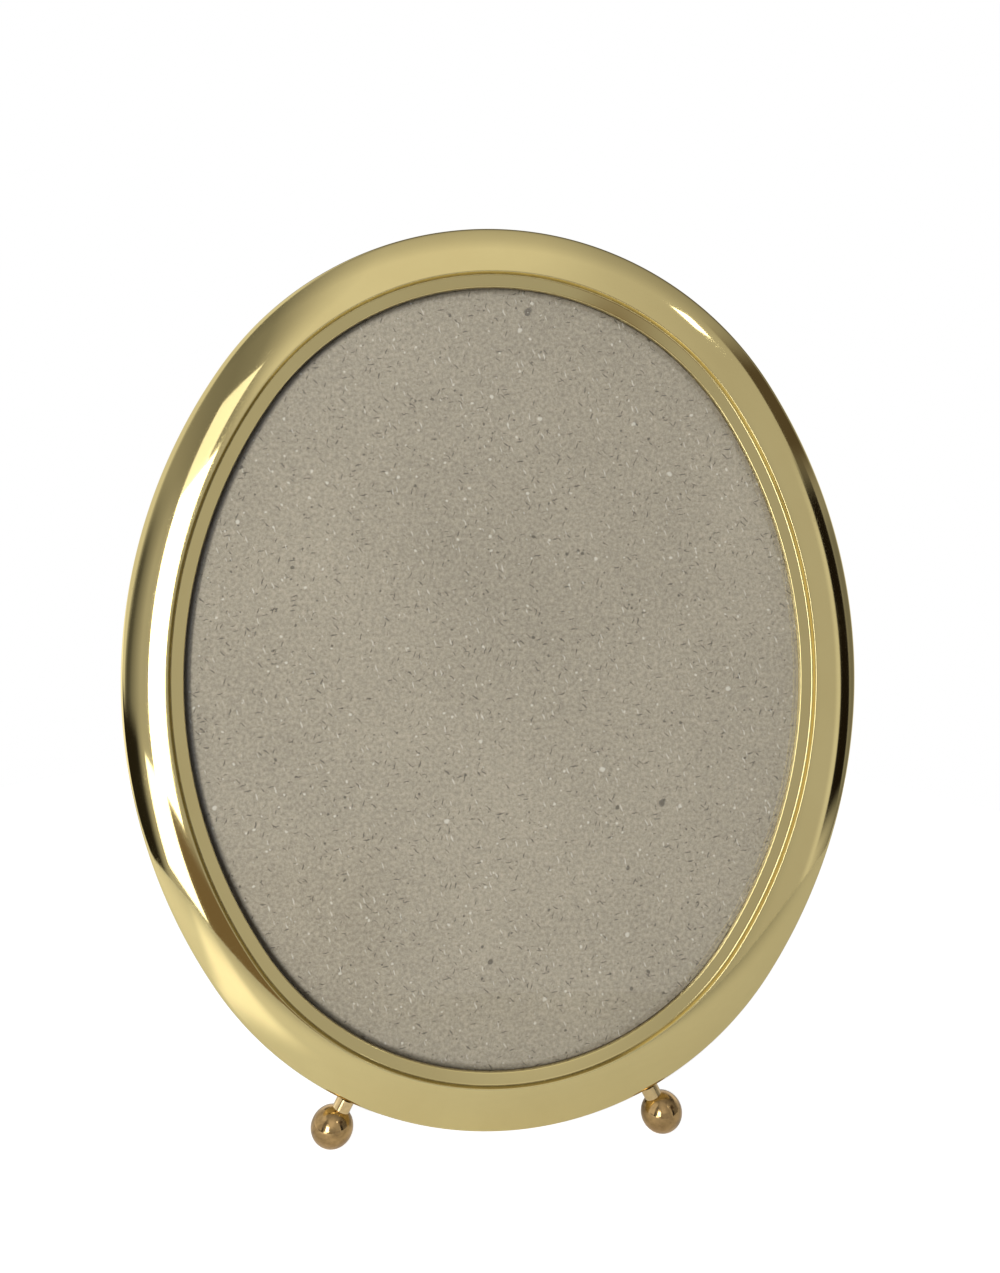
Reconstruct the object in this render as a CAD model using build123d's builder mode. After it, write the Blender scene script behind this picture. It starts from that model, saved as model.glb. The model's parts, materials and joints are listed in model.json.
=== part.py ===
from build123d import *
import os
from math import asin, atan2, cos, degrees, radians, sin, sqrt

# Oval brass picture frame that stands on two ball feet and a folding easel strut.
# Millimetres, +Z up, the picture faces -Y, and the origin is on the table below the middle.
# "Inset" is measured inward from the rim's outline, "height" forward from the rim's rear plane.

# Stance
lean_angle = 12.0
strut_open_angle = 26.0

# Oval insert, cut to a four-centre oval: two end arcs joined to two wider side arcs
insert_width = 203.2
insert_height = 254.0
end_radius_share = 0.892
insert_clearance = 0.4

# Stack in the rebate, from front to back
glass_thickness = 2.0
card_thickness = 1.5
back_thickness = 3.0
glass_arris = 0.3

# Rim section
rebate_inset = 12.0
crest_inset = 13.8
face_rise = 4.2
shoulder_radius = 1.9
crest_round = 0.7
quirk_inset = 14.9
quirk_step = 1.8
quirk_round = 0.5
lip_fall = 1.0
lip_edge = 2.0
lip_round = 0.6
sight_inset = 18.4
rear_edge_round = 0.6
channel_wall = 2.2
channel_depth = 5.8
channel_round = 1.6

# Ball feet and their stems
foot_spacing = 102.6
foot_height = 5.4
ball_radius = 6.45
ball_offset = 9.5
stem_radius = 2.75
stem_seat_gap = 0.04
spigot_radius = 1.6
rim_spigot = 6.0
ball_spigot = 5.0
foot_boss_width = 9.0
boss_rise = 0.6

# Turn buttons, spread along the end arcs by a share of the quarter arc, and their screws
button_spread_share = 0.2
button_inset = 6.0
button_thickness = 0.9
button_gap = 0.1
button_pivot_radius = 4.2
button_nose_radius = 2.3
button_reach = 11.0
screw_radius = 1.5
screw_length = 5.2
screw_head_radius = 3.0
screw_head_height = 1.5
screw_boss_radius = 4.2
fit_clearance = 0.05
hole_end_clearance = 0.3

# Easel hinge
hinge_rise = 45.0
leaf_thickness = 0.8
leaf_half_width = 14.0
back_leaf_length = 17.0
strut_leaf_length = 22.0
leaf_corner = 3.0
knuckle_radius = 1.8
middle_knuckle_half = 5.9
knuckle_gap = 0.3
notch_gap = 0.5
fold_gap = 0.3
pin_radius = 1.0
pin_overhang = 0.5
pin_chamfer = 0.25
stop_gap = 0.05
heel_reach = 8.0
rivet_radius = 1.2
rivet_head_radius = 2.4
rivet_head_height = 0.9
rivet_clench_height = 0.6
rivet_clench_gap = 0.1
rivet_inset = 4.6

# Easel strut
strut_thickness = 2.8
strut_top_width = 36.0
strut_foot_width = 64.0
strut_corner = 5.0

os.makedirs("parts", exist_ok=True)

# Arcs of the insert's outline
half_width = insert_width / 2
half_height = insert_height / 2
end_radius = half_width * end_radius_share
end_centre = half_height - end_radius
side_radius = (half_width**2 - end_radius**2 + end_centre**2) / (2 * (half_width - end_radius))
side_centre = side_radius - half_width
junction = degrees(atan2(end_centre, side_centre))
right_arc = ((-side_centre, 0), side_radius, -junction, 2 * junction)
top_arc = ((0, end_centre), end_radius, junction, 180 - 2 * junction)
left_arc = ((side_centre, 0), side_radius, 180 - junction, 2 * junction)
bottom_arc = ((0, -end_centre), end_radius, 180 + junction, 180 - 2 * junction)
arcs = (right_arc, top_arc, left_arc, bottom_arc)

# Heights that follow from the stack and the section
rim_offset = insert_clearance + rebate_inset
card_height = back_thickness
glass_height = card_height + card_thickness
rebate_depth = glass_height + glass_thickness
sight_height = rebate_depth + lip_edge
quirk_height = sight_height + lip_fall
crest_height = quirk_height + quirk_step
wall_height = crest_height - face_rise

# Feet on the lower end arc, and the strut's pin behind the back board
foot_radius = end_radius + rim_offset + ball_offset
foot_angle = degrees(asin(foot_spacing / 2 / foot_radius))
foot_drop = end_centre + foot_radius * cos(radians(foot_angle))
board_inner = strut_thickness - (knuckle_radius - leaf_thickness)
pin_setback = fold_gap + max(knuckle_radius, board_inner)

# Stance on the table: the balls touch it in front and the strut's rear edge behind
lean = radians(lean_angle)
strut_lean = radians(lean_angle - strut_open_angle)
face_rise_z = ball_radius + foot_drop * cos(lean) - foot_height * sin(lean)
pin_z = face_rise_z + hinge_rise * cos(lean) - pin_setback * sin(lean)
pin_y = hinge_rise * sin(lean) + pin_setback * cos(lean)
board_outer = board_inner - strut_thickness
strut_length = (pin_z + board_outer * sin(strut_lean)) / cos(strut_lean)
rear_y = pin_y - strut_length * sin(strut_lean) - board_outer * cos(strut_lean)
front_y = -foot_drop * sin(lean) - foot_height * cos(lean) - ball_radius
face_y = -(front_y + rear_y) / 2

face_plane = Plane(
    origin=(0, face_y, face_rise_z), x_dir=(1, 0, 0), z_dir=(0, -cos(lean), sin(lean))
)
strut_plane = Plane(
    origin=(0, face_y + pin_y, pin_z),
    x_dir=(1, 0, 0),
    z_dir=(0, -cos(strut_lean), sin(strut_lean)),
)
pin_plane = Plane(origin=strut_plane.origin, x_dir=(0, 1, 0), z_dir=(1, 0, 0))


def radial_plane(centre, radius, angle, height=0):
    """Plane on an arc of the face: x points outward along the radius, y to the front."""
    across = cos(radians(angle))
    up = sin(radians(angle))
    outward = face_plane.x_dir * across + face_plane.y_dir * up
    place = (centre[0] + radius * across, centre[1] + radius * up, height)
    return Plane(
        origin=face_plane.from_local_coords(place),
        x_dir=outward,
        z_dir=outward.cross(face_plane.z_dir),
    )


def oval():
    """The insert's oval as one face."""
    with BuildSketch() as sketch:
        with BuildLine():
            for centre, radius, start, sweep in arcs:
                CenterArc(centre, radius, start, sweep)
        make_face()
    return sketch.sketch


def domed_pin(radius, length, head_radius, head_height):
    """Half section of a pin along +Y under a domed head, to be turned about the Y axis."""
    crown_radius = (head_radius**2 + head_height**2) / (2 * head_height)
    with BuildSketch() as sketch:
        with BuildLine():
            dome = RadiusArc((0, -head_height), (head_radius, 0), -crown_radius)
            Polyline(dome @ 1, (radius, 0), (radius, length), (0, length), dome @ 0)
        make_face()
    return sketch.sketch


# Places of the six turn buttons: arc centre, arc radius and direction from that centre
spread = junction + button_spread_share * (90 - junction)
button_places = {
    "side_right": (right_arc[0], side_radius, 0),
    "upper_right": (top_arc[0], end_radius, spread),
    "upper_left": (top_arc[0], end_radius, 180 - spread),
    "side_left": (left_arc[0], side_radius, 180),
    "lower_left": (bottom_arc[0], end_radius, 180 + spread),
    "lower_right": (bottom_arc[0], end_radius, -spread),
}


def button_plane(place, height):
    """Radial plane through a turn button's pivot."""
    centre, radius, angle = place
    return radial_plane(centre, radius + rim_offset - button_inset, angle, height)


def facing_front(plane):
    """Same place and radius, with the plane's own normal to the front."""
    return Plane(origin=plane.origin, x_dir=plane.x_dir, z_dir=face_plane.z_dir)


# Foot planes stand on the rim's outline, x along the outline, y to the front, z along the stem
foot_planes = {}
for side, turn in (("left", -foot_angle), ("right", foot_angle)):
    on_outline = radial_plane(bottom_arc[0], end_radius + rim_offset, turn - 90, foot_height)
    foot_planes[side] = Plane(
        origin=on_outline.origin, x_dir=-on_outline.z_dir, z_dir=on_outline.x_dir
    )

# Rim section: side wall, rounded shoulder, cushioned face, quirk, lip and rebate, hollow behind
face_radius = (crest_inset**2 - 2 * crest_inset * shoulder_radius + face_rise**2) / (
    2 * (face_rise - shoulder_radius)
)
face_centre = (-crest_inset, crest_height - face_radius)
shoulder_centre = (-shoulder_radius, wall_height)
shoulder_turn = degrees(
    atan2(shoulder_centre[1] - face_centre[1], shoulder_centre[0] - face_centre[0])
)
channel_width = rebate_inset - 2 * channel_wall
with BuildSketch() as rim_section:
    with BuildLine():
        wall = Line((0, 0), (0, wall_height))
        CenterArc(shoulder_centre, shoulder_radius, 0, shoulder_turn)
        CenterArc(face_centre, face_radius, shoulder_turn, 90 - shoulder_turn)
        crest = CenterArc((-crest_inset, crest_height - crest_round), crest_round, 90, 90)
        Polyline(
            crest @ 1,
            (-quirk_inset, quirk_height),
            (-sight_inset, sight_height),
            (-sight_inset, rebate_depth),
            (-rebate_inset, rebate_depth),
            (-rebate_inset, 0),
            wall @ 0,
        )
    make_face()
    corners = rim_section.vertices()
    fillet(corners.sort_by_distance((-quirk_inset, quirk_height))[0], quirk_round)
    fillet(corners.sort_by_distance((-sight_inset, sight_height))[0], lip_round)
    fillet(corners.sort_by_distance((0, 0))[0], rear_edge_round)
    with Locations((-channel_wall, 0)):
        Rectangle(
            channel_width, channel_depth, align=(Align.MAX, Align.MIN), mode=Mode.SUBTRACT
        )
    ceiling = rim_section.vertices().filter_by_position(Axis.Y, channel_depth, channel_depth)
    fillet(ceiling, channel_round)

# Rim: the section turned about each arc's centre, with bosses for the screws and stems
with BuildPart() as rim:
    for centre, radius, start, sweep in arcs:
        with BuildSketch(radial_plane(centre, radius + rim_offset, start)):
            add(rim_section.sketch)
        arc_axis = Axis(face_plane.from_local_coords((*centre, 0)), face_plane.z_dir)
        revolve(axis=arc_axis, revolution_arc=sweep)
    for place in button_places.values():
        with BuildSketch(facing_front(button_plane(place, 0))):
            Circle(screw_boss_radius)
        extrude(amount=channel_depth + boss_rise)
    for plane in foot_planes.values():
        with BuildSketch(plane.offset(channel_wall / 2 - rebate_inset)):
            with Locations((0, -foot_height)):
                Rectangle(
                    foot_boss_width,
                    channel_depth + boss_rise,
                    align=(Align.CENTER, Align.MIN),
                )
        extrude(amount=channel_width + channel_wall)
    for place in button_places.values():
        with BuildSketch(facing_front(button_plane(place, 0))):
            Circle(screw_radius + fit_clearance)
        extrude(amount=screw_length + hole_end_clearance, mode=Mode.SUBTRACT)
    for plane in foot_planes.values():
        with BuildSketch(plane.offset(stem_radius)):
            Circle(spigot_radius + fit_clearance)
        extrude(amount=-(stem_radius + rim_spigot + hole_end_clearance), mode=Mode.SUBTRACT)
rim.part.label = "rim"
export_step(rim.part, "parts/rim.step")

# Glass, with its arrises taken off
with BuildPart() as glass:
    with BuildSketch(face_plane.offset(glass_height)):
        add(oval())
    extrude(amount=glass_thickness)
    chamfer(glass.edges().filter_by(face_plane), glass_arris)
glass.part.label = "glass"
export_step(glass.part, "parts/glass.step")

# Grey card behind the glass
with BuildPart() as insert_card:
    with BuildSketch(face_plane.offset(card_height)):
        add(oval())
    extrude(amount=card_thickness)
insert_card.part.label = "insert_card"
export_step(insert_card.part, "parts/insert_card.step")

# Back board, drilled for the hinge rivets, which clench in counterbores on its inner side
rivet_across = leaf_half_width - rivet_inset
back_rivet_rise = hinge_rise + back_leaf_length - rivet_inset
with BuildPart() as back_board:
    with BuildSketch(face_plane):
        add(oval())
    extrude(amount=back_thickness)
    with Locations(face_plane.offset(back_thickness)):
        with Locations((-rivet_across, back_rivet_rise), (rivet_across, back_rivet_rise)):
            CounterBoreHole(
                rivet_radius + fit_clearance,
                rivet_head_radius + rivet_clench_gap,
                rivet_clench_height + rivet_clench_gap,
            )
back_board.part.label = "back_board"
export_step(back_board.part, "parts/back_board.step")

# Turn buttons: flat teardrops whose noses point inward over the back board
for name, place in button_places.items():
    with BuildPart() as turn_button:
        with BuildSketch(facing_front(button_plane(place, -button_gap))):
            Circle(button_pivot_radius)
            with Locations((-button_reach, 0)):
                Circle(button_nose_radius)
            make_hull()
            Circle(screw_radius + fit_clearance, mode=Mode.SUBTRACT)
        extrude(amount=-button_thickness)
    turn_button.part.label = f"turn_button_{name}"
    export_step(turn_button.part, f"parts/turn_button_{name}.step")

# Screws of the turn buttons, domed heads just clear of the buttons
head_height = -(button_gap + button_thickness + button_gap)
with BuildPart() as turn_button_screws:
    for place in button_places.values():
        screw_plane = button_plane(place, head_height)
        with BuildSketch(screw_plane):
            add(
                domed_pin(
                    screw_radius, screw_length - head_height, screw_head_radius, screw_head_height
                )
            )
        revolve(axis=Axis(screw_plane.origin, face_plane.z_dir))
turn_button_screws.part.label = "turn_button_screws"
export_step(turn_button_screws.part, "parts/turn_button_screws.step")

# Stems: turned pins with a spigot into the rim and a spigot into the ball
ball_seat = sqrt(ball_radius**2 - stem_radius**2)
stem_end = ball_offset - ball_seat
for side, plane in foot_planes.items():
    with BuildPart() as stem:
        with BuildSketch(plane.offset(stem_seat_gap)):
            Circle(stem_radius)
        extrude(amount=stem_end - stem_seat_gap)
        with BuildSketch(plane.offset(-rim_spigot)):
            Circle(spigot_radius)
        extrude(amount=rim_spigot + stem_end + ball_spigot)
    stem.part.label = f"stem_{side}"
    export_step(stem.part, f"parts/stem_{side}.step")

# Balls, faced flat and drilled where the stems seat
for side, plane in foot_planes.items():
    with BuildPart() as ball:
        with Locations(plane.offset(ball_offset)):
            Sphere(ball_radius)
        split(bisect_by=plane.offset(stem_end), keep=Keep.TOP)
        with BuildSketch(plane.offset(stem_end)):
            Circle(spigot_radius + fit_clearance)
        extrude(amount=ball_spigot + hole_end_clearance, mode=Mode.SUBTRACT)
    ball.part.label = f"ball_{side}"
    export_step(ball.part, f"parts/ball_{side}.step")

# Fixed hinge leaf on the back board, with two outer knuckles and a notch for the middle one
outer_knuckle = middle_knuckle_half + knuckle_gap
with BuildPart() as hinge_leaf_back:
    with BuildSketch(face_plane):
        with Locations((0, hinge_rise)):
            Rectangle(2 * leaf_half_width, back_leaf_length, align=(Align.CENTER, Align.MIN))
        with Locations((0, hinge_rise)):
            Rectangle(
                2 * outer_knuckle,
                2 * (knuckle_radius + notch_gap),
                mode=Mode.SUBTRACT,
            )
    extrude(amount=-leaf_thickness)
    upper_edges = hinge_leaf_back.edges().filter_by(Axis(face_plane.origin, face_plane.z_dir))
    fillet(upper_edges.group_by(Axis.Z)[-1], leaf_corner)
    for start in (-leaf_half_width, outer_knuckle):
        with BuildSketch(pin_plane.offset(start)):
            Circle(knuckle_radius)
        extrude(amount=leaf_half_width - outer_knuckle)
    with BuildSketch(pin_plane.offset(-leaf_half_width)):
        Circle(pin_radius + fit_clearance)
    extrude(amount=2 * leaf_half_width, mode=Mode.SUBTRACT)
    with Locations(face_plane):
        with Locations((-rivet_across, back_rivet_rise), (rivet_across, back_rivet_rise)):
            Hole(rivet_radius + fit_clearance)
hinge_leaf_back.part.label = "hinge_leaf_back"
export_step(hinge_leaf_back.part, "parts/hinge_leaf_back.step")

# Strut leaf: its middle knuckle, and a heel past the pin that lands on the fixed leaf when open
leaf_back = -knuckle_radius
leaf_top = -(knuckle_radius + notch_gap)
strut_rivet_drop = strut_leaf_length - rivet_inset
with BuildPart() as hinge_leaf_strut:
    with BuildSketch(strut_plane.offset(leaf_back)):
        with Locations((0, leaf_top)):
            Rectangle(
                2 * leaf_half_width,
                strut_leaf_length + leaf_top,
                align=(Align.CENTER, Align.MAX),
            )
        with Locations((0, heel_reach)):
            Rectangle(
                2 * middle_knuckle_half,
                heel_reach - leaf_top,
                align=(Align.CENTER, Align.MAX),
            )
    extrude(amount=leaf_thickness)
    lower_edges = hinge_leaf_strut.edges().filter_by(
        Axis(strut_plane.origin, strut_plane.z_dir)
    )
    fillet(lower_edges.group_by(Axis.Z)[0], leaf_corner)
    split(bisect_by=face_plane.offset(-(leaf_thickness + stop_gap)), keep=Keep.BOTTOM)
    with BuildSketch(pin_plane.offset(-middle_knuckle_half)):
        Circle(knuckle_radius)
    extrude(amount=2 * middle_knuckle_half)
    with BuildSketch(pin_plane.offset(-middle_knuckle_half)):
        Circle(pin_radius + fit_clearance)
    extrude(amount=2 * middle_knuckle_half, mode=Mode.SUBTRACT)
    with Locations(strut_plane):
        with Locations((-rivet_across, -strut_rivet_drop), (rivet_across, -strut_rivet_drop)):
            Hole(rivet_radius + fit_clearance)
hinge_leaf_strut.part.label = "hinge_leaf_strut"
export_step(hinge_leaf_strut.part, "parts/hinge_leaf_strut.step")

# Hinge pin through all three knuckles
with BuildPart() as hinge_pin:
    with BuildSketch(pin_plane.offset(-(leaf_half_width + pin_overhang))):
        Circle(pin_radius)
    extrude(amount=2 * (leaf_half_width + pin_overhang))
    chamfer(hinge_pin.edges().filter_by(GeomType.CIRCLE), pin_chamfer)
hinge_pin.part.label = "hinge_pin"
export_step(hinge_pin.part, "parts/hinge_pin.step")

# Easel strut: a flared board, its foot cut to lie flat on the table
with BuildPart() as strut:
    with BuildSketch(strut_plane.offset(board_outer)):
        with BuildLine():
            Polyline(
                (-strut_top_width / 2, leaf_top),
                (-strut_foot_width / 2, -strut_length),
                (strut_foot_width / 2, -strut_length),
                (strut_top_width / 2, leaf_top),
                close=True,
            )
        make_face()
    extrude(amount=strut_thickness)
    side_edges = strut.edges().filter_by(Axis(strut_plane.origin, strut_plane.z_dir))
    fillet(side_edges, strut_corner)
    split(bisect_by=Plane.XY, keep=Keep.TOP)
    with Locations(strut_plane.offset(board_inner)):
        with Locations((-rivet_across, -strut_rivet_drop), (rivet_across, -strut_rivet_drop)):
            CounterBoreHole(
                rivet_radius + fit_clearance,
                rivet_head_radius + rivet_clench_gap,
                rivet_clench_height + rivet_clench_gap,
            )
strut.part.label = "strut"
export_step(strut.part, "parts/strut.step")


def rivet_section_plane(leaf_plane, across, rise):
    """Plane through a rivet's axis, x across the leaf and y into the board."""
    origin = leaf_plane.from_local_coords((across, rise, 0))
    return Plane(
        origin=origin,
        x_dir=leaf_plane.x_dir,
        z_dir=leaf_plane.x_dir.cross(leaf_plane.z_dir),
    )


def rivet(grip):
    """Half section of a rivet: domed head, shank through the grip and a flat clench."""
    with BuildSketch() as sketch:
        add(domed_pin(rivet_radius, grip, rivet_head_radius, rivet_head_height))
        with Locations((0, grip)):
            Rectangle(
                rivet_head_radius, rivet_clench_height, align=(Align.MIN, Align.MAX)
            )
    return sketch.sketch


# Rivets of the fixed leaf and of the strut leaf
with BuildPart() as back_rivets:
    for across in (-rivet_across, rivet_across):
        rivet_plane = rivet_section_plane(
            face_plane.offset(-leaf_thickness), across, back_rivet_rise
        )
        with BuildSketch(rivet_plane):
            add(rivet(leaf_thickness + back_thickness))
        revolve(axis=Axis(rivet_plane.origin, face_plane.z_dir))
back_rivets.part.label = "back_rivets"
export_step(back_rivets.part, "parts/back_rivets.step")

with BuildPart() as strut_rivets:
    for across in (-rivet_across, rivet_across):
        rivet_plane = rivet_section_plane(
            strut_plane.offset(leaf_back), across, -strut_rivet_drop
        )
        with BuildSketch(rivet_plane):
            add(rivet(leaf_thickness + strut_thickness))
        revolve(axis=Axis(rivet_plane.origin, strut_plane.z_dir))
strut_rivets.part.label = "strut_rivets"
export_step(strut_rivets.part, "parts/strut_rivets.step")
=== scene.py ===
# %% [markdown]
# # Oval brass picture frame
# The object is a table frame: a polished brass rim, a pane of glass, a grey card, a flocked back with
# turn buttons and a folding strut. The solids come packed in metres, and this lesson dresses them.
# We start by loading them, and we keep their box, because the looks may not make the object larger.

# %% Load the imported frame
import json
from math import acos, atan2, cos, degrees, pi, radians, sin, tau

import bmesh
import bpy
from mathutils import Matrix, Vector

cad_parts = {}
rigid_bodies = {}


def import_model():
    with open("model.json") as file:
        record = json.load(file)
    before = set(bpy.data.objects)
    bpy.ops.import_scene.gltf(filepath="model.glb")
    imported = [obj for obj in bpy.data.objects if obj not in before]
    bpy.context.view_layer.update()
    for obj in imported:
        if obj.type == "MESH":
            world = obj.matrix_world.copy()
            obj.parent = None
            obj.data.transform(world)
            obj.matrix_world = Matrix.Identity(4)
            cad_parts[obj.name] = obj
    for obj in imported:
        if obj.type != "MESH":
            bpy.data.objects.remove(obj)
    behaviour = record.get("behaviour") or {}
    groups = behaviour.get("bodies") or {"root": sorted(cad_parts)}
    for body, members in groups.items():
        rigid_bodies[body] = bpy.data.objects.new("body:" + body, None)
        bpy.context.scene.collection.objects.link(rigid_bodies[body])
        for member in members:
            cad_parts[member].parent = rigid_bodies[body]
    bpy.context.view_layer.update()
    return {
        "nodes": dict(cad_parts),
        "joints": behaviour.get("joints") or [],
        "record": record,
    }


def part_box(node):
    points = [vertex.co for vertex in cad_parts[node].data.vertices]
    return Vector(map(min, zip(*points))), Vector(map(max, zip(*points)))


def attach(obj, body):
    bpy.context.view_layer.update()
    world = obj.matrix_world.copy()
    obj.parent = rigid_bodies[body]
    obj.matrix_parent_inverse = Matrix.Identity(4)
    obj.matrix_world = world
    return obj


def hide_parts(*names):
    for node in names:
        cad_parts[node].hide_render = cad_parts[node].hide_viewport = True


for stray in list(bpy.data.objects):
    bpy.data.objects.remove(stray)
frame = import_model()

# %% [markdown]
# The picture leans back, so it is easier to work on the face itself: across, up the face and forward.
# The turn buttons give that plane: their axes point forward, and the two side ones share its origin.
# One matrix then takes any point from the face to the table.

# %% The plane of the face
joints = {joint["name"]: joint for joint in frame["joints"]}
right_pivot = Vector(joints["turn_button_side_right_turn"]["pos_m"])
left_pivot = Vector(joints["turn_button_side_left_turn"]["pos_m"])
forward = Vector(joints["turn_button_side_right_turn"]["axis"]).normalized()
across = Vector((1, 0, 0))
upward = forward.cross(across)
face = Matrix((across, upward, forward)).transposed().to_4x4()
face.translation = (right_pivot + left_pivot) / 2
lean = atan2(upward.y, upward.z)
print("lean:", round(degrees(lean), 2), "degrees, face origin:", tuple(round(v, 4) for v in face.translation))

# %% [markdown]
# Node trees appear in every step, so two small helpers keep the cells short. One makes a node, sets
# its options and fills its inputs, either with a value or with a link. The other makes a Math node.

# %% Helpers for node trees
def node(tree, kind, inputs=None, **options):
    made = tree.nodes.new(kind)
    for option, value in options.items():
        setattr(made, option, value)
    for key, value in (inputs or {}).items():
        if isinstance(value, bpy.types.NodeSocket):
            tree.links.new(value, made.inputs[key])
        else:
            made.inputs[key].default_value = value
    return made


def sums(tree, operation, *values):
    return node(tree, "ShaderNodeMath", dict(enumerate(values)), operation=operation).outputs[0]


def new_tree(name, kind, inputs, outputs):
    tree = bpy.data.node_groups.new(name, kind)
    for label, socket in inputs.items():
        tree.interface.new_socket(label, in_out="INPUT", socket_type=socket)
    for label, socket in outputs.items():
        tree.interface.new_socket(label, in_out="OUTPUT", socket_type=socket)
    return tree, tree.nodes.new("NodeGroupInput").outputs, tree.nodes.new("NodeGroupOutput").inputs


MM = 0.001
print("helpers ready")

# %% [markdown]
# ## Finishes
# Old polished brass is a mirror with small faults: hairlines from the cloth, faint smears and a little
# tarnish. Hairlines could be drawn as an image, but noise stretched very long in one direction gives
# them at any zoom. Several metals use them, so they are one group, with a turn and a share of surface.

# %% Group: hairlines
hairlines, given, result = new_tree(
    "hairlines", "ShaderNodeTree",
    {"Turn": "NodeSocketVector", "Fineness": "NodeSocketFloat", "Share": "NodeSocketFloat"},
    {"Mask": "NodeSocketFloat"},
)
place = node(hairlines, "ShaderNodeTexCoord").outputs["Object"]
rotated = node(hairlines, "ShaderNodeMapping", {"Vector": place, "Rotation": given["Turn"]})
stretched = node(hairlines, "ShaderNodeMapping", {"Vector": rotated.outputs[0], "Scale": (0.012, 1.0, 1.0)})
strands = node(hairlines, "ShaderNodeTexNoise", {
    "Vector": stretched.outputs[0], "Scale": given["Fineness"], "Detail": 2.0, "Roughness": 0.7,
})
patches = node(hairlines, "ShaderNodeTexNoise", {"Vector": place, "Scale": 38.0, "Detail": 2.0})
level = sums(hairlines, "SUBTRACT", 1.0, given["Share"])
lines = node(hairlines, "ShaderNodeMapRange", {
    "Value": strands.outputs[0], "From Min": level, "From Max": sums(hairlines, "ADD", level, 0.05),
})
worn = node(hairlines, "ShaderNodeMapRange", {
    "Value": patches.outputs[0], "From Min": 0.42, "From Max": 0.68,
})
hairlines.links.new(sums(hairlines, "MULTIPLY", lines.outputs[0], worn.outputs[0]), result["Mask"])
print("group:", hairlines.name)

# %% [markdown]
# Tarnish is a slow change of colour. Two sizes of noise, one inside the other, give soft patches with
# ragged edges. The group mixes a clean and a dull colour by that mask, and gives the mask too, so that
# a material can also roughen where it is dull.

# %% Group: tarnish
tarnish, given, result = new_tree(
    "tarnish", "ShaderNodeTree",
    {"Clean": "NodeSocketColor", "Dull": "NodeSocketColor", "Size": "NodeSocketFloat",
     "Amount": "NodeSocketFloat"},
    {"Color": "NodeSocketColor", "Mask": "NodeSocketFloat"},
)
place = node(tarnish, "ShaderNodeTexCoord").outputs["Object"]
broad = node(tarnish, "ShaderNodeTexNoise", {
    "Vector": place, "Scale": given["Size"], "Detail": 6.0, "Roughness": 0.62, "Distortion": 0.4,
})
spread = node(tarnish, "ShaderNodeMapRange", {"Value": broad.outputs[0], "From Min": 0.38, "From Max": 0.72})
mask = sums(tarnish, "MULTIPLY", spread.outputs[0], given["Amount"])
mixed = node(tarnish, "ShaderNodeMix", {0: mask, 6: given["Clean"], 7: given["Dull"]}, data_type="RGBA")
tarnish.links.new(mixed.outputs[2], result["Color"])
tarnish.links.new(mask, result["Mask"])
print("group:", tarnish.name)

# %% [markdown]
# The metals differ only in colour, in gloss and in how worn they are. A function makes each one: the
# tarnish group gives its colour and part of its roughness, and the hairlines press a very shallow bump.
# The rim's finish also darkens in its crevices, partly for old polish and partly as painted shade. Its
# mesh carries that as a named value, which the rim's step will write, and the painted shade is weaker on the
# right.

# %% Brass and steel finishes
def metal(name, clean, dull, size, amount, gloss, dulled, fineness, share, depth):
    material = bpy.data.materials.new(name)
    material.use_nodes = True
    tree = material.node_tree
    shader = tree.nodes["Principled BSDF"]
    shader.inputs["Metallic"].default_value = 1.0
    patina = node(tree, "ShaderNodeGroup", node_tree=tarnish)
    for key, value in (("Clean", clean), ("Dull", dull), ("Size", size), ("Amount", amount)):
        patina.inputs[key].default_value = value
    marks = []
    for turn in ((0.3, 0.5, 0.2), (1.1, -0.4, 1.3)):
        rubbed = node(tree, "ShaderNodeGroup", node_tree=hairlines)
        for key, value in (("Turn", turn), ("Fineness", fineness), ("Share", share)):
            rubbed.inputs[key].default_value = value
        marks.append(rubbed.outputs["Mask"])
    scratched = sums(tree, "MAXIMUM", *marks)
    rough = sums(tree, "MULTIPLY_ADD", patina.outputs["Mask"], dulled, gloss)
    press = node(tree, "ShaderNodeBump", {"Height": scratched, "Strength": depth, "Distance": 0.00002})
    tree.links.new(patina.outputs["Color"], shader.inputs["Base Color"])
    tree.links.new(sums(tree, "MULTIPLY_ADD", scratched, 0.08, rough), shader.inputs["Roughness"])
    tree.links.new(press.outputs[0], shader.inputs["Normal"])
    return material


rim_brass = metal("polished_rim_brass", (0.80, 0.672, 0.322, 1), (0.70, 0.56, 0.25, 1),
                  22.0, 0.35, 0.045, 0.08, 5200.0, 0.34, 0.12)
foot_brass = metal("aged_foot_brass", (0.60, 0.40, 0.18, 1), (0.07, 0.036, 0.014, 1),
                   240.0, 0.6, 0.08, 0.12, 5200.0, 0.42, 0.4)
stem_brass = metal("turned_stem_brass", (0.84, 0.64, 0.34, 1), (0.52, 0.34, 0.14, 1),
                   300.0, 0.5, 0.12, 0.16, 5200.0, 0.42, 0.4)
button_brass = metal("stamped_button_brass", (0.74, 0.57, 0.25, 1), (0.47, 0.33, 0.13, 1),
                     160.0, 0.6, 0.24, 0.16, 4200.0, 0.46, 0.6)
hinge_brass = metal("plated_hinge_brass", (0.72, 0.56, 0.27, 1), (0.44, 0.31, 0.13, 1),
                    140.0, 0.6, 0.22, 0.18, 4200.0, 0.46, 0.6)
hinge_steel = metal("drawn_pin_steel", (0.58, 0.57, 0.55, 1), (0.36, 0.31, 0.26, 1),
                    300.0, 0.5, 0.30, 0.2, 4200.0, 0.46, 0.6)
tree = rim_brass.node_tree
shader = tree.nodes["Principled BSDF"]
# Painted shade: the crease value darkens the brass at the step's root and the lip's edge, partly for old
# polish, and less on the right.
grime = node(tree, "ShaderNodeAttribute", attribute_name="grime").outputs["Fac"]
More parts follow.
